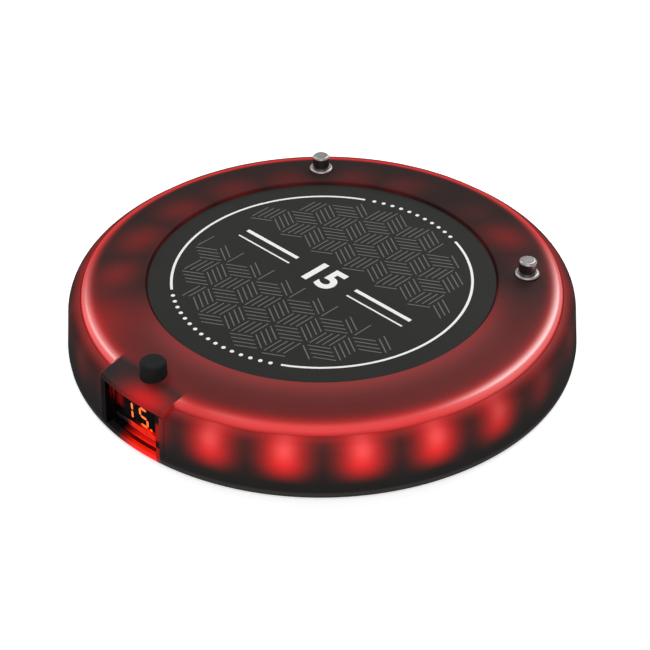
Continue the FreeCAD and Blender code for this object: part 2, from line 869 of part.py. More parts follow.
# Sounder: round case with a sound hole in its top.
sound_x = sounder_x * spread
sound_y = sounder_y * spread
sounder_top = board_top + sounder_height
sounder = cylinder(sound_x, sound_y, board_top, sounder_top, sounder_radius)
crown = [e for e in sounder.Edges if e.BoundBox.ZMin > sounder_top - 1e-4]
sounder = sounder.makeFillet(sounder_round, crown)
sound_hole = cylinder(sound_x, sound_y, board_top + sounder_height / 2, sounder_top + 1, sound_hole_radius)
save(sounder.cut(sound_hole), "sounder")


def legged_chip(layout_x, layout_y, length, width, height, legs, four_sided):
    x = layout_x * spread
    y = layout_y * spread
    leg_top = board_top + chip_leg_thickness
    pieces = [centred_box(x, y, length, width, board_top + chip_leg_thickness / 2, board_top + height)]
    for i in range(legs):
        shift = (i - (legs - 1) / 2) * chip_leg_pitch
        reach = width + 2 * chip_leg_reach
        pieces.append(centred_box(x + shift, y, chip_leg_width, reach, board_top, leg_top))
        if four_sided:
            reach = length + 2 * chip_leg_reach
            pieces.append(centred_box(x, y + shift, reach, chip_leg_width, board_top, leg_top))
    return merge(pieces)


# Control chip with legs on four sides, two lamp driver chips with legs on two sides.
control_chip = legged_chip(
    control_chip_x, control_chip_y, control_chip_side, control_chip_side, control_chip_height, 7, True
)
save(control_chip, "control_chip")
drivers = []
for x in (-driver_chip_x, driver_chip_x):
    drivers.append(legged_chip(
        x, driver_chip_y, driver_chip_length, driver_chip_width, control_chip_height, 4, False
    ))
save(Part.makeCompound(drivers), "led_driver_chips")

# Crystal can and smoothing capacitors.
crystal_corner = crystal_width / 2 - 0.2
crystal_top = board_top + crystal_height
x = crystal_x * spread
y = crystal_y * spread
crystal = rounded_box(x, y, crystal_length, crystal_width, board_top, crystal_top, crystal_corner)
save(crystal, "crystal_can")
capacitors = []
for i in range(capacitor_count):
    x = capacitor_x * spread + capacitor_pitch * i
    y = capacitor_y * spread
    capacitors.append(cylinder(x, y, board_top, board_top + capacitor_height, capacitor_radius))
save(Part.makeCompound(capacitors), "smoothing_capacitors")
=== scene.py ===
import math

import bmesh
import bpy
from mathutils import Matrix, Vector


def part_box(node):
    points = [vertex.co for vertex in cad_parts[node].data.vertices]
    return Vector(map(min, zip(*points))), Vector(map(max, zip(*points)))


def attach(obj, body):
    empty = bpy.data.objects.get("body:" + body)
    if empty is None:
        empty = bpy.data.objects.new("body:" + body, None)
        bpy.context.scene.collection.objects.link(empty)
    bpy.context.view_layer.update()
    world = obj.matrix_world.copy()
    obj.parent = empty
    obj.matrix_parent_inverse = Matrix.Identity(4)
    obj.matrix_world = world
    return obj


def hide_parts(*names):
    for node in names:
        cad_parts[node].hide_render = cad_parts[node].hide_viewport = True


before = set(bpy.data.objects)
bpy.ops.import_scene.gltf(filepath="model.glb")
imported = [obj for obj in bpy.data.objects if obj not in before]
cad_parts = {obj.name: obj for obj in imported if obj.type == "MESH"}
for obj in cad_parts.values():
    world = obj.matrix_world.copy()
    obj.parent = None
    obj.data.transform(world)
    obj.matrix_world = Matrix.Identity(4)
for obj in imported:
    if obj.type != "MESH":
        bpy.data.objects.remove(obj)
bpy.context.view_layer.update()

MM = 0.001

# Top housing. One moulding of smoked polycarbonate: side wall, rounded lip and domed deck.
# Twenty-one red lamps stand behind the wall at equal steps, and their light soaks through it
# as round spots on the wall, a bright lip and softer clouds on the deck. Places on the piece
# are in millimetres, and angles run from the window towards the right.
first_lamp = math.radians(21)
lamp_step = math.radians(16)
first_cloud = math.radians(15)
cloud_step = math.radians(20)
brightest_side = math.radians(48)
crease_radius = 50.36
label_edge_radius = 36.9
pin_offset = 30.388
brow_half_width = 9.0
pane_radius = 52.178
opening_half_width = 6.9
opening_bottom = 2.5
lamp_red = (1.0, 0.012, 0.012)
# Pale colour for the cores of the lamp spots and for the painted sheen and highlights.
core_and_sheen_colour = (1.0, 0.95, 0.95)


def seen(red, green, blue):
    """A colour as the eye sees it on a screen, from 0 to 255, as Blender counts it."""
    light = []
    for part in (red / 255, green / 255, blue / 255):
        light.append(part / 12.92 if part <= 0.04045 else ((part + 0.055) / 1.055) ** 2.4)
    return (light[0], light[1], light[2], 1.0)


class Amount:
    """A value on its way through a node tree, so that its maths reads as plain expressions."""

    def __init__(self, graph, socket):
        self.graph = graph
        self.socket = socket

    def maths(self, operation, *others):
        return self.graph.node("ShaderNodeMath", {"operation": operation}, (self, *others))

    def __add__(self, other):
        return self.maths("ADD", other)

    def __radd__(self, other):
        return self + other

    def __sub__(self, other):
        return self.maths("SUBTRACT", other)

    def __rsub__(self, other):
        return self.graph.node("ShaderNodeMath", {"operation": "SUBTRACT"}, (other, self))

    def __mul__(self, other):
        return self.maths("MULTIPLY", other)

    def __rmul__(self, other):
        return self * other

    def __truediv__(self, other):
        return self.maths("DIVIDE", other)

    def __abs__(self):
        return self.maths("ABSOLUTE")

    def rising(self, low, high):
        """0 below low, 1 above high, and a soft step between."""
        places = {"Value": self, "From Min": low, "From Max": high}
        return self.graph.node("ShaderNodeMapRange", {"interpolation_type": "SMOOTHSTEP"}, places)

    def falling(self, low, high):
        return 1 - self.rising(low, high)


def bell(*distances_and_reaches):
    """1 in the middle, fading to a third at one reach away and to nothing at two."""
    total = 0
    for distance, reach in distances_and_reaches:
        ratio = distance / reach
        total = ratio * ratio + total
    return (total * -1).maths("EXPONENT")


class Graph:
    """A node tree, and the one way in which nodes are added to it."""

    def __init__(self, tree):
        self.tree = tree

    def node(self, kind, settings, places, output=0):
        made = self.tree.nodes.new(kind)
        for name, value in settings.items():
            setattr(made, name, value)
        pairs = places.items() if isinstance(places, dict) else enumerate(places)
        for key, value in pairs:
            if isinstance(value, Amount):
                self.tree.links.new(value.socket, made.inputs[key])
            else:
                made.inputs[key].default_value = value
        return Amount(self, made.outputs[output])


class Finish(Graph):
    """One material, with its fixed values on the shader's own sockets."""

    def __init__(self, name, **fixed):
        self.material = bpy.data.materials.new(name)
        self.material.use_nodes = True
        super().__init__(self.material.node_tree)
        self.shader = self.tree.nodes["Principled BSDF"]
        for socket, value in fixed.items():
            self.shader.inputs[socket.replace("_", " ")].default_value = value
        self.spot = self.node("ShaderNodeTexCoord", {}, {}, "Object")

    def feed(self, socket, value):
        self.tree.links.new(value.socket, self.shader.inputs[socket])

    def millimetres(self):
        """The place on the piece as x, y and z in millimetres."""
        scaled = self.node("ShaderNodeVectorMath", {"operation": "SCALE"}, {0: self.spot, "Scale": 1000})
        split = self.node("ShaderNodeSeparateXYZ", {}, [scaled])
        outputs = split.socket.node.outputs
        return Amount(self, outputs[0]), Amount(self, outputs[1]), Amount(self, outputs[2])

    def noise(self, grain, detail=2.0):
        """Soft random clouds, one grain (in millimetres) across."""
        places = {"Vector": self.spot, "Scale": 1000 / grain, "Detail": detail}
        return self.node("ShaderNodeTexNoise", {}, places)

    def mixed(self, amount, low, high):
        """The colour low where the amount is 0, and high where it is 1."""
        return self.node("ShaderNodeMix", {"data_type": "RGBA"}, {0: amount, 6: low, 7: high}, 2)

    def light(self, colour, amount):
        """A colour of light, as strong as the amount."""
        return self.node("ShaderNodeVectorMath", {"operation": "SCALE"}, {0: colour, "Scale": amount})

    def together(self, first, second):
        return self.node("ShaderNodeVectorMath", {"operation": "ADD"}, [first, second])

    def bumpy(self, height, depth):
        """Raises the surface by up to the depth, in millimetres."""
        places = {"Height": height, "Distance": depth * MM, "Strength": 1.0}
        self.feed("Normal", self.node("ShaderNodeBump", {}, places, "Normal"))


def dress(names, finish):
    for name in names.split():
        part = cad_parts[name]
        if part.material_slots:
            for slot in part.material_slots:
                slot.material = finish.material
        else:
            part.data.materials.append(finish.material)


smoked = Finish("smoked polycarbonate", Specular_IOR_Level=0.0, Coat_IOR=2.2, Coat_Roughness=0.32,
                Emission_Strength=1.0)
x, y, z = smoked.millimetres()
radius = (x * x + y * y).maths("SQRT")
turn = x.maths("ARCTAN2", y * -1)
toward = (turn - brightest_side).maths("COSINE")
near = toward * 0.5 + 0.5
beside_brow = abs(x).rising(brow_half_width, brow_half_width + 0.25)
clear_of_window = beside_brow.maths("MAXIMUM", y.rising(-1, 1))
right_jamb = x.rising(8.2, 8.5) * z.falling(11.4, 12.2)
beside_window = clear_of_window.maths("MAXIMUM", right_jamb)
outside_crease = radius.rising(crease_radius - 0.05, crease_radius + 0.15)
on_deck = 1 - outside_crease

# Light on the wall: flat-topped spots with a small pale core, and a band under the lip.
spot_reach = 3.8
spot_fades_in = (3.2, 8.6)
spot_fades_out = (11.2, 14.2)
core_reach = 1.9
core_height = 10.8
core_rise = 2.1
band_height = 13.0
lamp = (abs(turn) - first_lamp) / lamp_step
beside_lamp = (lamp - lamp.maths("ROUND")) * lamp_step * radius
strength = toward.rising(0.55, 1.0) * 0.95 + 0.05
spots = bell((beside_lamp, spot_reach)) * z.rising(*spot_fades_in) * z.falling(*spot_fades_out) * strength
core = bell((beside_lamp, core_reach), (z - core_height, core_rise)) * strength
upper_band = bell((z - band_height, 0.8)) * 0.22 + z.rising(5, 11) * near.rising(0.3, 0.9) * 0.03
wall_light = (spots * 0.86 + upper_band) * beside_window * outside_crease

# Light on the deck: a bright lip, a haze round the label, and clouds on the far side.
lip_fades_in = (12.6, 13.7)
far_lip_radius = 48.4
lip_shift = 1.6
far_cloud_radius = 38.5
cloud_shift = 10
cloud_width = 5.5
cloud_depth = 4.5
glow_place = (-22, -42.5)
brow_foot = (-48, -45)
from_label = radius - label_edge_radius
lip_reach = near.rising(0.1, 0.7) * 1.5 + 0.55
lip_middle = near.rising(0.0, 0.5) * lip_shift + far_lip_radius
lip_strength = (0.68 - 0.08 * near) * (z.rising(*lip_fades_in) * 0.45 + 0.55)
lip = bell((radius - lip_middle, lip_reach)) * lip_strength
wide_lip = bell((radius - 50, 4.6)) * near.rising(0.3, 0.8) * 0.045
label_haze = bell((from_label, 3.0)) * near.rising(0.5, 0.85) * 0.12
deck_base = near.rising(0.5, 0.85) * 0.095 + 0.008
cloud = (turn - first_cloud) / cloud_step
beside_cloud = (cloud - cloud.maths("ROUND")) * cloud_step * radius
cloud_strength = (near * 0.2 + 0.07) * near.falling(0.42, 0.6)
from_cloud = radius - near * cloud_shift - far_cloud_radius
clouds = bell((beside_cloud, cloud_width), (from_cloud, cloud_depth)) * cloud_strength
clouds = clouds * (1 - bell((x, 10)) * y.rising(0, 10))
left_glow = bell((x - glow_place[0], 9), (y - glow_place[1], 8)) * 0.16
pin_shade = 1 - bell((abs(x) - pin_offset, 6), (y - pin_offset, 6)) * 0.75
at_brow = y.falling(*brow_foot) * (1 - clear_of_window)
lip_end = bell((x - 13, 7), (y + 47, 8))
deck_light = (lip + wide_lip) * (1 - at_brow) + (clouds + deck_base * (1 - at_brow * 0.9)) * pin_shade
deck_light = deck_light + label_haze + left_glow * (1 - at_brow)
deck_light = deck_light * (1 - lip_end * 0.15) * on_deck

# Light at the window: a red patch on the brow, lines along the sill, upright stripes that the
# dark jamb on the left mirrors, and a lit jamb on the right.
patch_middle = 3.8
patch_reach = 5.4
sill_line_turn = 10.5
stripe_turn = 14
stripe_height = 9.6
brow_patch = bell((x - patch_middle, patch_reach), (radius - pane_radius, 2.5)) * at_brow
brow_patch = brow_patch * z.rising(11.8, 12.4)
in_window = (1 - clear_of_window) * y.falling(-49, -48) * abs(x).falling(7.3, 7.6)
sill = in_window * x.rising(-4, 2) * z.falling(opening_bottom, opening_bottom + 0.2)
sill_lines = (radius * sill_line_turn).maths("SINE").rising(-0.3, 0.5) * 0.95 + 0.03
below_brow = z.falling(11.7, 12.0)
behind_pane = radius.falling(pane_radius + 0.12, pane_radius + 0.42) * y.falling(-49.5, -49)
behind_pane = behind_pane * (1 - clear_of_window) * below_brow
upright_stripes = (y * stripe_turn).maths("SINE") * 0.5 + 0.5
left_jamb = x.falling(0.1 - opening_half_width, 0.2 - opening_half_width)
mirrored = behind_pane * left_jamb * bell((z - stripe_height, 1.7)) * upright_stripes
lit_heights = z.falling(3.9, 4.5) + z.rising(5.4, 6.4) * z.falling(9.4, 10.4)
lit_jamb = (1 - beside_window) * x.rising(7.1, 7.3) * y.falling(-51, -50.5) * lit_heights
window_light = brow_patch * 0.56 + sill * sill_lines + mirrored * 0.35 + lit_jamb * 0.35

red = smoked.light(lamp_red, wall_light + deck_light + window_light)
# Pale light: the cores of the lamp spots, plus a painted sheen round the label and a painted highlight along
# the lip on the near side.
painted_deck_sheen = bell((radius - label_edge_radius, 5)) * 0.02 + bell((radius - 49.7, 0.9)) * (1 - at_brow) * 0.03
pale = core * clear_of_window * outside_crease * 0.062 + painted_deck_sheen * near.rising(0.5, 0.9) * on_deck
# A painted highlight along the foot of the wall, outside the window.
pale = pale + z.falling(1.3, 1.9) * (1 - in_window) * 0.02
smoked.feed("Emission Color", smoked.together(red, smoked.light(core_and_sheen_colour, pale)))
grey = smoked.mixed(smoked.noise(9), seen(36, 34, 33), seen(43, 41, 40))
# Painted shade: the base colour goes near black on the jambs and behind the pane inside the window, and
# under the brow's red patch.
painted_jamb_shade = (1 - beside_window) * abs(x).rising(7.3, 7.5) * z.falling(11.9, 12.4) * y.falling(-49.5, -49)
dark = behind_pane.maths("MAXIMUM", painted_jamb_shade).maths("MAXIMUM", brow_patch)
smoked.feed("Base Color", smoked.mixed(dark, grey, seen(14, 12, 12)))
smoked.feed("Roughness", smoked.noise(3) * 0.06 + 0.3)
shiny = near.rising(0.35, 0.65) * (1 - toward * toward).rising(0.05, 0.5) * 0.9 + 0.08
glossy_lip = bell((radius - 49.4, 0.9)) * z.rising(12.6, 13.0) * clear_of_window * (1 - lip_end)
smoked.feed("Coat Weight", glossy_lip * shiny + 0.03)
smoked.bumpy(smoked.noise(0.5, 3.0), 0.004)


def plain_mesh(piece_name, source, finish):
    """The finished shape of an object, as a plain mesh with one material."""
    depsgraph = bpy.context.evaluated_depsgraph_get()
    mesh = bpy.data.meshes.new_from_object(source.evaluated_get(depsgraph))
    bpy.data.objects.remove(source)
    mesh.materials.clear()
    mesh.materials.append(finish.material)
    piece = bpy.data.objects.new(piece_name, mesh)
    bpy.context.scene.collection.objects.link(piece)
    return piece


def built_piece(piece_name, built, finish):
    """A piece from a bmesh, with its faces turned outwards."""
    bmesh.ops.recalc_face_normals(built, faces=built.faces)
    mesh = bpy.data.meshes.new(piece_name)
    built.to_mesh(mesh)
    built.free()
    mesh.materials.append(finish.material)
    piece = bpy.data.objects.new(piece_name, mesh)
    bpy.context.scene.collection.objects.link(piece)
    return piece


def bow(centre_r, centre_z, bow_radius, start, end, steps):
    """Points along an arc of a profile, by its angle above level in degrees."""
    points = []
    for i in range(steps + 1):
        angle = math.radians(start + (end - start) * i / steps)
        points.append((centre_r + bow_radius * math.cos(angle), centre_z + bow_radius * math.sin(angle)))
    return points


def turned(built, profile, steps, middle=(0, 0)):
    """A closed body turned on the lathe from a closed profile of radii and heights in millimetres."""
    rows = []
    for r, h in profile:
        if r == 0:
            rows.append([built.verts.new((middle[0] * MM, middle[1] * MM, h * MM))] * steps)
            continue
        row = []
        for i in range(steps):
            angle = math.tau * i / steps
            place = (middle[0] + r * math.cos(angle), middle[1] + r * math.sin(angle), h)
            row.append(built.verts.new([c * MM for c in place]))
        rows.append(row)
    for row, following in zip(rows, rows[1:] + rows[:1]):
        for i in range(steps):
            j = (i + 1) % steps
            corners = []
            for corner in (row[i], row[j], following[j], following[i]):
                if corner not in corners:
                    corners.append(corner)
            if len(corners) > 2:
                built.faces.new(corners)


def block(built, low, high):
    """A box between two corners in millimetres."""
    size = [(b - a) * MM for a, b in zip(low, high)]
    at = Matrix.Translation([(a + b) / 2 * MM for a, b in zip(low, high)])
    bmesh.ops.create_cube(built, size=1, matrix=at @ Matrix.Diagonal((*size, 1)))


def carved(piece, operation, tool_mesh, finish=smoked):
    """The piece after one cut with another shape."""
    tool = built_piece("tool", tool_mesh, finish)
    cutting = piece.modifiers.new("cut", "BOOLEAN")
    cutting.operation = operation
    cutting.solver = "EXACT"
    cutting.object = tool
    result = plain_mesh("carved", piece, finish)
    bpy.data.objects.remove(tool)
    return result


def smoothed(piece):
    """Round faces shade as round, and corners of more than 25 degrees stay sharp."""
    for face in piece.data.polygons:
        face.use_smooth = True
    piece.data.set_sharp_from_angle(angle=math.radians(25))
    return piece


def shape(*calls):
    built = bmesh.new()
    for make, *numbers in calls:
        make(built, *numbers)
    return built


# The shell is turned, and the sector over the window is turned apart with its sloping brow.
turning_steps = 384
wall_radius = 54.0
hollow_radius = 51.3
foot_height = 0.8
deck_underside = 12.328
recess_radius = 36.878
recess_floor = 13.828
edge_round = 0.4
edge_middle = 14.778
inner_round = 3.5
inner_middle = 9.096
crown = bow(recess_radius + edge_round, edge_middle, edge_round, 90, 180, 6)
crown += [(recess_radius, recess_floor), (0, recess_floor)]
hollow = [(0, deck_underside), (39.278, deck_underside), (40.078, inner_middle + inner_round)]
hollow += bow(hollow_radius - inner_round, inner_middle, inner_round, 90, 0, 12)
hollow += [(hollow_radius, foot_height)]
foot = [(wall_radius - 0.1, foot_height), (wall_radius, 1.8)]
shoulder = bow(50.1, 9.6, 3.2, 0, 80, 18)
crease = [(50.356, 12.601)]
lip_arc = bow(48.956, 12.751, 1.4, 0, 85, 20)
brow_arc = bow(52.928, 12.542, 0.55, 0, 90, 8)
brow_back = [(47.978, 14.242)]

outside = -60
well_above = 20
seat_top = 12.142
window_zone = (block, (-9.3, outside, -1), (9.3, -38.9, well_above))
display_seat = (block, (-7.9, -51.25, 4.1), (7.9, -47.8, seat_top))
opening = (block, (-opening_half_width, outside, opening_bottom), (opening_half_width, -50.3, 11.542))
pane_slot = (block, (-7.5, outside, 1.9), (7.5, -46.6, seat_top))
pane_profile = [(0, -1), (pane_radius, -1), (pane_radius, well_above), (0, well_above)]
inside_pane = (turned, pane_profile, turning_steps)


def drilled(piece, profile, steps, middle, finish=smoked):
    """The piece after a round hole of that profile is cut in it."""
    return carved(piece, "DIFFERENCE", shape((turned, profile, steps, middle)), finish)


wall_profile = foot + shoulder + crease + lip_arc + crown + hollow
wall = built_piece("wall", shape((turned, wall_profile, turning_steps)), smoked)
wall = carved(wall, "DIFFERENCE", shape(window_zone))
pins = [(side * pin_offset, pin_offset) for side in (1, -1)]
barrel_bore = 2.48
collar_bore = 2.75
collar_seat = 14.46
pin_hole = [(0, 3), (barrel_bore, 3), (barrel_bore, collar_seat), (collar_bore, collar_seat),
            (collar_bore, well_above), (0, well_above)]
for pin in pins:
    wall = drilled(wall, pin_hole, 48, pin)
front_profile = foot + brow_arc + brow_back + crown + hollow
front = built_piece("front", shape((turned, front_profile, turning_steps)), smoked)
front = carved(front, "INTERSECT", shape(window_zone))
front = carved(front, "DIFFERENCE", shape(display_seat))
front = carved(front, "DIFFERENCE", shape(opening))
pane = carved(built_piece("pane", shape(pane_slot), smoked), "DIFFERENCE", shape(inside_pane))
pane_mesh = bmesh.new()
pane_mesh.from_mesh(pane.data)
bpy.data.objects.remove(pane)
front = carved(front, "DIFFERENCE", pane_mesh)
button_place = (0, -46.6)
button_bore = 2.77
button_hole = [(0, 9), (button_bore, 9), (button_bore, well_above), (0, well_above)]
front = drilled(front, button_hole, 64, button_place)

# Screw posts, barrel guides, button guide and ribs inside the shell, each a body of its own.
shell = bmesh.new()
shell.from_mesh(wall.data)
shell.from_mesh(front.data)
bpy.data.objects.remove(wall)
bpy.data.objects.remove(front)
post_circle = 38.0
posts = []
for i in range(5):
    angle = math.pi + math.tau * i / 5
    posts.append((post_circle * math.sin(angle), -post_circle * math.cos(angle)))
thread_bore = 1.12
post_radius = 3.4
post_foot = 4.1
post_profile = [(thread_bore, post_foot), (post_radius, post_foot), (post_radius, 12.4), (0, 12.4),
                (0, 11.9), (thread_bore, 11.9)]
for post in posts:
    turned(shell, post_profile, 40, post)
guide_top = 12.7


def guide(bore, outer, bottom):
    return [(bore, bottom), (outer, bottom), (outer, guide_top), (bore, guide_top)]


for pin in pins:
    turned(shell, guide(barrel_bore, 4.0, 9.946), 48, pin)
turned(shell, guide(button_bore, 4.3, 10.9), 48, button_place)
rib_place = 8.35
rib_half = 0.45
for side in (-1, 1):
    block(shell, (side * rib_place - rib_half, -51.4, 4.4), (side * rib_place + rib_half, -43.3, 12.0))
housing = smoothed(built_piece("top_housing_turned", shell, smoked))
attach(housing, "pager_body")
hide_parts("top_housing")

# Base cover. A dished disc of black plastic with a fine spark-eroded texture, pressed up into
# the wall on a spigot and held by five screws.
base_plastic = Finish("spark-eroded black plastic", Specular_IOR_Level=0.1, Emission_Strength=1.0)
x, y, z = base_plastic.millimetres()
grit = base_plastic.noise(0.35, 3.0)
base_plastic.feed("Base Color", base_plastic.mixed(grit, seen(40, 40, 40), seen(58, 57, 56)))
base_plastic.feed("Roughness", grit * 0.15 + 0.5)
sill_light = x.rising(-4, 2) * x.falling(7.2, 7.6) * y.falling(-50.5, -49.5) * z.rising(0.05, 0.4)
base_plastic.feed("Emission Color", base_plastic.light((1.0, 0.02, 0.01), sill_light))
base_plastic.bumpy(grit, 0.03)
foot_radius = 53.1
plate_top = 1.4
spigot_outer = 51.2
spigot_inner = 49.8
spigot_top = 2.4
dish_depth = 0.3
dish_radius = 34.0
cover_profile = [(0, dish_depth), (dish_radius, dish_depth), (dish_radius + dish_depth, 0), (foot_radius, 0)]
cover_profile += bow(foot_radius, foot_height, foot_height, -90, 0, 8)
cover_profile += [(spigot_outer, foot_height), (spigot_outer, spigot_top), (spigot_inner, spigot_top),
                  (spigot_inner, plate_top), (0, plate_top)]
cover = built_piece("cover", shape((turned, cover_profile, turning_steps)), base_plastic)
screw_head_bore = 2.3
charge_bore = 3.2
key_bore = 3.0
holes = [(post, screw_head_bore) for post in posts] + [(pin, charge_bore) for pin in pins]
for place, bore in holes + [(button_place, key_bore)]:
    cover = drilled(cover, [(0, -1), (bore, -1), (bore, 5), (0, 5)], 64, place, base_plastic)
built = bmesh.new()
built.from_mesh(cover.data)
bpy.data.objects.remove(cover)
shank_bore = 1.25
boss_foot = 1.2
head_seat = 1.5
boss_profile = [(shank_bore, head_seat), (screw_head_bore, head_seat), (screw_head_bore, boss_foot),
                (post_radius, boss_foot), (post_radius, 2.9), (shank_bore, 2.9)]
socket_profile = [(charge_bore, boss_foot), (4.3, boss_foot), (4.3, spigot_top), (charge_bore, spigot_top)]
key_profile = [(0, 1.65), (key_bore, 1.65), (key_bore, boss_foot), (4.1, boss_foot), (4.1, 2.55), (0, 2.55)]
for post in posts:
    turned(built, boss_profile, 48, post)
for pin in pins:
    turned(built, socket_profile, 64, pin)
turned(built, key_profile, 64, button_place)
cover = smoothed(built_piece("base_cover_turned", built, base_plastic))
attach(cover, "pager_body")
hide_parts("base_cover")

# Label disc. Satin black film stuck in the recess of the deck, printed in grey and white. The
# print is a set of thin ink bars, each a hair above the film.
label_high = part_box("label_disc")[1]
ink_foot = label_high.z - 0.02 * MM
ink_top = label_high.z + 0.03 * MM
film = Finish("satin label film", Specular_IOR_Level=0.05)
film.feed("Base Color", film.mixed(film.noise(6), seen(36, 36, 35), seen(41, 41, 39)))
film.feed("Roughness", film.noise(0.8) * 0.1 + 0.3)
film.bumpy(film.noise(0.25, 3.0), 0.003)
dress("label_disc", film)

white_ink = Finish("white ink", Specular_IOR_Level=0.3)
white_ink.feed("Base Color", white_ink.mixed(white_ink.noise(0.4), seen(232, 232, 230), seen(245, 245, 244)))
white_ink.feed("Roughness", white_ink.noise(0.6) * 0.1 + 0.4)
grey_ink = Finish("grey ink", Specular_IOR_Level=0.3)
grey_ink.feed("Base Color", grey_ink.mixed(grey_ink.noise(0.4), seen(84, 84, 82), seen(100, 100, 98)))
grey_ink.feed("Roughness", grey_ink.noise(0.6) * 0.1 + 0.4)


def on_label(piece):
    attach(piece, "pager_body")


# The hatching: a three-way tiling of rhombs, each filled with bars along one of its sides.
# Bars that would cross the ring or the clear band across the middle are left out.
rhomb_side = 5.4 * MM
bars_per_rhomb = 4
bar_width = 0.24 * MM
hatch_radius = 29.6 * MM
band_half_width = 5.2 * MM
cells_across = 14

hatch_tree = bpy.data.node_groups.new("label hatching", "GeometryNodeTree")
hatch_inputs = {"Rhomb Side": rhomb_side, "Bar Width": bar_width, "Hatch Radius": hatch_radius,
                "Band Half Width": band_half_width, "Ink Height": (ink_foot + ink_top) / 2}
hatch_sockets = {}
for name in hatch_inputs:
    made = hatch_tree.interface.new_socket(name=name, in_out="INPUT", socket_type="NodeSocketFloat")
    hatch_sockets[name] = made.identifier
hatch_tree.interface.new_socket(name="Geometry", in_out="OUTPUT", socket_type="NodeSocketGeometry")
hatch = Graph(hatch_tree)
given = hatch_tree.nodes.new("NodeGroupInput")
side, width, reach, band, height = [Amount(hatch, given.outputs[name]) for name in hatch_inputs]
number = hatch.node("GeometryNodeInputIndex", {}, {})
third = number.maths("MODULO", 3)
rest = (number / 3).maths("FLOOR")
bar = rest.maths("MODULO", bars_per_rhomb)
rest = (rest / bars_per_rhomb).maths("FLOOR")
column = rest.maths("MODULO", cells_across) - cells_across / 2
row = (rest / cells_across).maths("FLOOR") - cells_across / 2
way = third * (math.tau / 3) + math.pi / 2
step_way = way + math.tau / 3
along_x = way.maths("COSINE")
along_y = way.maths("SINE")
step_x = step_way.maths("COSINE")
step_y = step_way.maths("SINE")
out = (bar + 0.5) / bars_per_rhomb
centre_x = side * ((column + row * 0.5) * math.sqrt(3) + along_x * 0.5 + step_x * out)
centre_y = side * (row * 1.5 + along_y * 0.5 + step_y * out)
half = side * 0.44
kept = 1
for end in (-1, 1):
    end_x = centre_x + along_x * half * end
    end_y = centre_y + along_y * half * end
    far = end_x * end_x + end_y * end_y
    in_ring = far.maths("LESS_THAN", reach * reach)
    off_band = abs(end_y).maths("GREATER_THAN", band)
    kept = in_ring * off_band * kept
bar_place = hatch.node("ShaderNodeCombineXYZ", {}, [centre_x, centre_y, height])
points = hatch.node("GeometryNodePoints", {}, {"Count": cells_across * cells_across * 3 * bars_per_rhomb,
                                               "Position": bar_place})
bar_size = hatch.node("ShaderNodeCombineXYZ", {}, [half * 2, width, ink_top - ink_foot])
one_bar = hatch.node("GeometryNodeMeshCube", {}, {"Size": bar_size})
bar_turn = hatch.node("ShaderNodeCombineXYZ", {}, [0.0, 0.0, way])
bars = hatch.node("GeometryNodeInstanceOnPoints", {}, {"Points": points, "Selection": kept,
                                                       "Instance": one_bar, "Rotation": bar_turn})
bars = hatch.node("GeometryNodeRealizeInstances", {}, [bars])
bars = hatch.node("GeometryNodeSetMaterial", {}, {"Geometry": bars, "Material": grey_ink.material})
hatch_tree.links.new(bars.socket, hatch_tree.nodes.new("NodeGroupOutput").inputs[0])
carrier = bpy.data.objects.new("hatching carrier", bpy.data.meshes.new("hatching carrier"))
bpy.context.scene.collection.objects.link(carrier)
modifier = carrier.modifiers.new("hatching", "NODES")
modifier.node_group = hatch_tree
for name, value in hatch_inputs.items():
    modifier[hatch_sockets[name]] = value
on_label(plain_mesh("label_hatching", carrier, grey_ink))

# The printed ring, broken twice, with a row of dots along each break, and the number of this
# pager in the clear band with a double rule on both sides of it.
ring_radius = 31.5 * MM
ring_width = 0.55 * MM
ring_breaks = ((69, 117), (-127, -60))
dot_step = 4
dot_radius = 0.45 * MM
rule_start = 8.5 * MM
rule_end = 24 * MM
print_detail = math.radians(1.5)


def ink_strip(built, inner, outer, start, end):
    """A flat strip of ink along an arc, from one angle to another."""
    steps = max(1, round(abs(end - start) / print_detail))
    slices = []
    for i in range(steps + 1):
        angle = start + (end - start) * i / steps
        corners = ((inner, ink_foot), (outer, ink_foot), (outer, ink_top), (inner, ink_top))
        slices.append([built.verts.new((r * math.cos(angle), r * math.sin(angle), h)) for r, h in corners])
    for near_slice, far_slice in zip(slices, slices[1:]):
        for i in range(4):
            j = (i + 1) % 4
            built.faces.new((near_slice[i], near_slice[j], far_slice[j], far_slice[i]))
    built.faces.new(slices[0])
    built.faces.new(slices[-1])


def ink_dot(built, middle_x, middle_y, size):
    at = Matrix.Translation((middle_x, middle_y, (ink_foot + ink_top) / 2))
    bmesh.ops.create_cone(built, cap_ends=True, segments=20, radius1=size, radius2=size,
                          depth=ink_top - ink_foot, matrix=at)


def ink_block(built, x0, x1, y0, y1):
    at = Matrix.Translation(((x0 + x1) / 2, (y0 + y1) / 2, (ink_foot + ink_top) / 2))
    size = Matrix.Diagonal((x1 - x0, y1 - y0, ink_top - ink_foot, 1))
    bmesh.ops.create_cube(built, size=1, matrix=at @ size)


ring = bmesh.new()
starts = [math.radians(b[1]) for b in ring_breaks]
ends = [math.radians(ring_breaks[1][0]) + math.tau, math.radians(ring_breaks[0][0])]
for start, end in zip(starts, ends):
    ink_strip(ring, ring_radius - ring_width / 2, ring_radius + ring_width / 2, start, end)
for first, last in ring_breaks:
    dots = round((last - first) / dot_step)
    for i in range(1, dots):
        angle = math.radians(first + (last - first) * i / dots)
        ink_dot(ring, ring_radius * math.cos(angle), ring_radius * math.sin(angle), dot_radius)
for side in (-1, 1):
    for rule_y, rule_half in ((1.3 * MM, 0.45 * MM), (-1.3 * MM, 0.2 * MM)):
        ends = sorted((side * rule_start, side * rule_end))
        ink_block(ring, ends[0], ends[1], rule_y - rule_half, rule_y + rule_half)
on_label(built_piece("label_ring_and_rules", ring, white_ink))

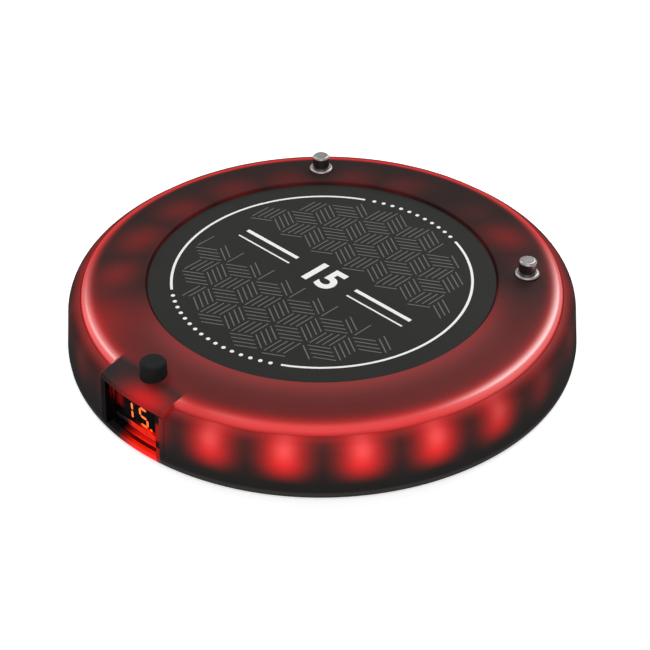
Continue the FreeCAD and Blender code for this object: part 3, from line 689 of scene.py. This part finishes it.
number_height = 9.5 * MM
number_weight = 0.28 * MM
number_curve = bpy.data.curves.new("pager number", "FONT")
number_curve.body = "15"
number_curve.size = number_height
number_curve.offset = number_weight
number_curve.extrude = (ink_top - ink_foot) / 2
number_curve.align_x = "CENTER"
number_curve.align_y = "CENTER"
number_curve.resolution_u = 8
number_text = bpy.data.objects.new("pager number", number_curve)
bpy.context.scene.collection.objects.link(number_text)
number_piece = plain_mesh("label_number", number_text, white_ink)
number_piece.data.transform(Matrix.Translation((0, 0, (ink_foot + ink_top) / 2)))
on_label(number_piece)

# Window lens. A curved pane of clear polycarbonate, polished on both faces. Its lower edge
# catches the red light and glows in fine lines.
lens = Finish("clear polycarbonate", Roughness=0.04, Specular_IOR_Level=0.0, Emission_Strength=1.0)
lens.feed("Base Color", lens.mixed(lens.noise(7), seen(8, 7, 7), seen(16, 12, 12)))
x, y, z = lens.millimetres()
lit_edge = z.falling(2.7, 3.1) * x.rising(-4, 2) * 0.9
lens.feed("Alpha", lens.noise(9) * 0.02 + 0.05 + lit_edge)
stripes = (z * 12).maths("SINE").rising(-0.8, -0.1)
lens.feed("Emission Color", lens.light((1.0, 0.016, 0.0), lit_edge * (stripes * 1.3 + 0.05)))
dress("window_lens", lens)

# Display. A black epoxy block with bars let into its face that light up orange. The red lamps
# beside it show in its lower edge, and faintly in stripes at its upper left.
epoxy = Finish("black display epoxy", Specular_IOR_Level=0.01, Emission_Strength=1.0)
x, y, z = epoxy.millimetres()
stripes = (x * 14).maths("SINE") * 0.5 + 0.5
glow = bell((x - 2.9, 1.9)) * z.falling(4.7, 5.3) + bell((x + 5.3, 0.9)) * z.rising(6, 7) * stripes * 0.3
epoxy.feed("Emission Color", epoxy.light((1.0, 0.012, 0.0), glow * 1.15))
epoxy.feed("Base Color", epoxy.mixed(epoxy.noise(1.5), seen(7, 7, 8), seen(14, 13, 14)))
epoxy.feed("Roughness", epoxy.noise(0.7) * 0.1 + 0.3)
dress("display_module", epoxy)
orange = Finish("lit orange", Emission_Strength=1.3, Roughness=0.4)
orange.feed("Base Color", orange.mixed(orange.noise(0.5), seen(200, 70, 10), seen(220, 90, 20)))
orange.feed("Emission Color", orange.mixed(orange.noise(0.7), seen(255, 84, 12), seen(255, 128, 30)))
dress("lit_segments", orange)

# Circuit board. Green-black laminate; its tongue reaches into the window, where it is painted near black
# as shade and the lamps beside the display light it red.
laminate = Finish("dark laminate", Specular_IOR_Level=0.4, Emission_Strength=1.0)
x, y, z = laminate.millimetres()
weave = (x * 9).maths("SINE") * (y * 9).maths("SINE") * 0.5 + 0.5
green = laminate.mixed(weave, seen(22, 40, 30), seen(28, 50, 37))
# The front of the board, inside the window, is painted near black as shade.
laminate.feed("Base Color", laminate.mixed(y.falling(-48, -46), green, seen(12, 11, 11)))
laminate.feed("Roughness", laminate.noise(1.2) * 0.1 + 0.35)
tongue_light = y.falling(-50.6, -47.5) * x.rising(-3.5, -1.5) * x.falling(6.2, 7.0)
blotches = laminate.noise(2.2) * 0.9 + 0.5
laminate.feed("Emission Color", laminate.light((1.0, 0.02, 0.01), tongue_light * blotches))
dress("main_circuit_board", laminate)

# Push button. A peg of matte black silicone rubber, moulded over its switch plunger. Its skin
# is slightly grainy.
rubber = Finish("matte black rubber", Specular_IOR_Level=0.06)
rubber.feed("Base Color", rubber.mixed(rubber.noise(0.9), seen(26, 27, 27), seen(34, 35, 35)))
rubber.feed("Roughness", rubber.noise(0.5) * 0.15 + 0.65)
rubber.bumpy(rubber.noise(0.3, 3.0), 0.02)
dress("push_button", rubber)

# Contact pins. Turned brass, nickel plated: a domed collar pressed into the deck and a sprung
# plunger through it. The lathe leaves fine rings on both.
nickel = Finish("bright nickel", Metallic=1.0)
x, y, z = nickel.millimetres()
rings = (z * 40).maths("SINE") * 0.5 + 0.5
nickel.feed("Base Color", nickel.mixed(nickel.noise(1.5), seen(122, 118, 118), seen(142, 138, 138)))
nickel.feed("Roughness", nickel.noise(1.1) * 0.08 + 0.2)
nickel.bumpy(rings, 0.002)
dress("contact_barrels right_contact_plunger left_contact_plunger", nickel)

# Charge pads. Gold-plated copper discs on the underside of the board, reached through the
# sockets in the base cover.
gold = Finish("gold plate", Metallic=1.0)
gold.feed("Base Color", gold.mixed(gold.noise(0.8), seen(205, 160, 80), seen(226, 184, 104)))
gold.feed("Roughness", gold.noise(0.6) * 0.15 + 0.25)
dress("charge_pads", gold)

# Housing screws. Zinc-plated steel with a cross slot, driven from below into the posts of the
# top housing.
zinc = Finish("zinc-plated steel", Metallic=1.0)
zinc.feed("Base Color", zinc.mixed(zinc.noise(0.7), seen(120, 122, 126), seen(160, 162, 166)))
zinc.feed("Roughness", zinc.noise(0.5) * 0.2 + 0.3)
dress("housing_screws", zinc)

# Parts inside the closed housing: electronics, battery, motor, antenna and sounder. Each has
# the finish that it would show on a bench.


def inner_finish(name, low, high, grain, roughness, fixed):
    finish = Finish(name, **fixed)
    finish.feed("Base Color", finish.mixed(finish.noise(grain), low, high))
    finish.feed("Roughness", finish.noise(grain / 2) * 0.12 + roughness)
    return finish


metal = {"Metallic": 1.0}
dress("rim_leds", inner_finish("white lamp package", seen(214, 210, 200), seen(232, 228, 220), 0.8, 0.4, {}))
dress("radio_chip control_chip led_driver_chips", inner_finish(
    "chip epoxy", seen(26, 26, 28), seen(38, 38, 40), 0.5, 0.5, {}))
dress("chip_resistors tact_switch_body", inner_finish(
    "glazed ceramic", seen(30, 30, 34), seen(52, 52, 58), 0.5, 0.35, {}))
dress("tact_switch_plunger motor_cradle", inner_finish(
    "grey rubber", seen(70, 70, 72), seen(88, 88, 90), 0.6, 0.65, {}))
dress("radio_shield_can crystal_can", inner_finish(
    "tin plate", seen(170, 170, 168), seen(200, 200, 198), 1.5, 0.25, metal))
dress("smoothing_capacitors vibration_motor_can", inner_finish(
    "drawn aluminium", seen(160, 162, 166), seen(190, 192, 196), 1.2, 0.3, metal))
dress("motor_eccentric_weight", inner_finish(
    "sintered weight metal", seen(120, 116, 110), seen(150, 146, 140), 0.6, 0.4, metal))
dress("right_contact_spring left_contact_spring", inner_finish(
    "spring steel", seen(130, 130, 134), seen(160, 160, 164), 0.6, 0.3, metal))
dress("antenna_coil", inner_finish(
    "enamelled copper wire", seen(176, 92, 48), seen(206, 118, 66), 0.7, 0.25, metal))
dress("battery_cell", inner_finish("battery wrap", seen(34, 70, 120), seen(46, 86, 140), 3.0, 0.3, {}))
dress("battery_foam_pad", inner_finish("black foam", seen(24, 24, 24), seen(48, 48, 48), 0.4, 0.85, {}))
dress("battery_leads motor_leads", inner_finish(
    "lead insulation", seen(150, 24, 22), seen(176, 34, 30), 1.0, 0.4, {}))
dress("battery_plug battery_socket", inner_finish(
    "white nylon", seen(206, 204, 196), seen(228, 226, 218), 1.0, 0.45, {}))
dress("sounder", inner_finish("black sounder case", seen(24, 24, 25), seen(36, 36, 38), 0.9, 0.45, {}))

# Stage: a pale floor that keeps the shadow, soft studio lamps and the camera of the photograph.
# Floor and room look whiter to the camera, in a gloss and through a clear part than they are
# as light on the object.
floor_mesh = bpy.data.meshes.new("floor")
far_edge = 3.0
floor_level = -0.05 * MM
floor_corners = [(-far_edge, -far_edge), (far_edge, -far_edge), (far_edge, far_edge), (-far_edge, far_edge)]
floor_mesh.from_pydata([(*corner, floor_level) for corner in floor_corners], [], [(0, 1, 2, 3)])
floor = bpy.data.objects.new("floor", floor_mesh)
bpy.context.scene.collection.objects.link(floor)


def looked_at(graph):
    """1 for the camera, for a gloss and through a clear part, and 0 for light on the object."""
    path = graph.tree.nodes.new("ShaderNodeLightPath").outputs
    total = Amount(graph, path["Is Camera Ray"]) + Amount(graph, path["Is Glossy Ray"])
    return (total + Amount(graph, path["Is Transmission Ray"])).maths("MINIMUM", 1.0)


paper = Finish("white paper floor", Roughness=0.9, Specular_IOR_Level=0.0, Emission_Strength=1.0,
               Base_Color=(0.93, 0.93, 0.93, 1.0))
paper.feed("Emission Color", paper.light((0.55, 0.55, 0.55), looked_at(paper)))
floor_mesh.materials.append(paper.material)

world = bpy.data.worlds.new("studio")
bpy.context.scene.world = world
world.use_nodes = True
room_light = looked_at(Graph(world.node_tree)) * 0.65 + 0.35
background = world.node_tree.nodes["Background"]
background.inputs["Color"].default_value = (1.0, 1.0, 1.0, 1.0)
world.node_tree.links.new(room_light.socket, background.inputs["Strength"])


def softbox(name, place, width, height, power):
    lamp_data = bpy.data.lights.new(name, "AREA")
    lamp_data.shape = "RECTANGLE"
    lamp_data.size = width
    lamp_data.size_y = height
    lamp_data.energy = power
    softbox_object = bpy.data.objects.new(name, lamp_data)
    softbox_object.location = place
    softbox_object.rotation_euler = (-Vector(place)).to_track_quat("-Z", "Y").to_euler()
    bpy.context.scene.collection.objects.link(softbox_object)


softbox("top softbox", (0.1, -0.1, 0.9), 0.7, 0.7, 1.2)
softbox("front softbox", (0.5, -0.5, 0.4), 0.7, 0.5, 1.5)
softbox("back left softbox", (-0.47, 0.02, 0.50), 0.3, 0.45, 1.1)
softbox("back right softbox", (-0.08, 0.50, 0.46), 0.34, 0.45, 1.9)

camera_distance = 0.394
camera_turn = math.radians(45)
camera_rise = math.radians(36.32)
aim_up = 0.00379
aim_side = -0.0015
aim_roll = -0.00705
camera_data = bpy.data.cameras.new("camera")
camera_data.lens = 101.86
camera_data.sensor_width = 36
camera_data.clip_start = 0.01
camera = bpy.data.objects.new("camera", camera_data)
orbit = Matrix.Rotation(camera_turn, 4, "Z") @ Matrix.Rotation(math.pi / 2 - camera_rise, 4, "X")
aim = Matrix.Rotation(aim_up, 4, "X") @ Matrix.Rotation(aim_side, 4, "Y")
aim = aim @ Matrix.Rotation(aim_roll, 4, "Z")
camera.matrix_world = orbit @ Matrix.Translation((0, 0, camera_distance)) @ aim
bpy.context.scene.collection.objects.link(camera)
bpy.context.scene.camera = camera
bpy.context.scene.view_settings.view_transform = "Standard"
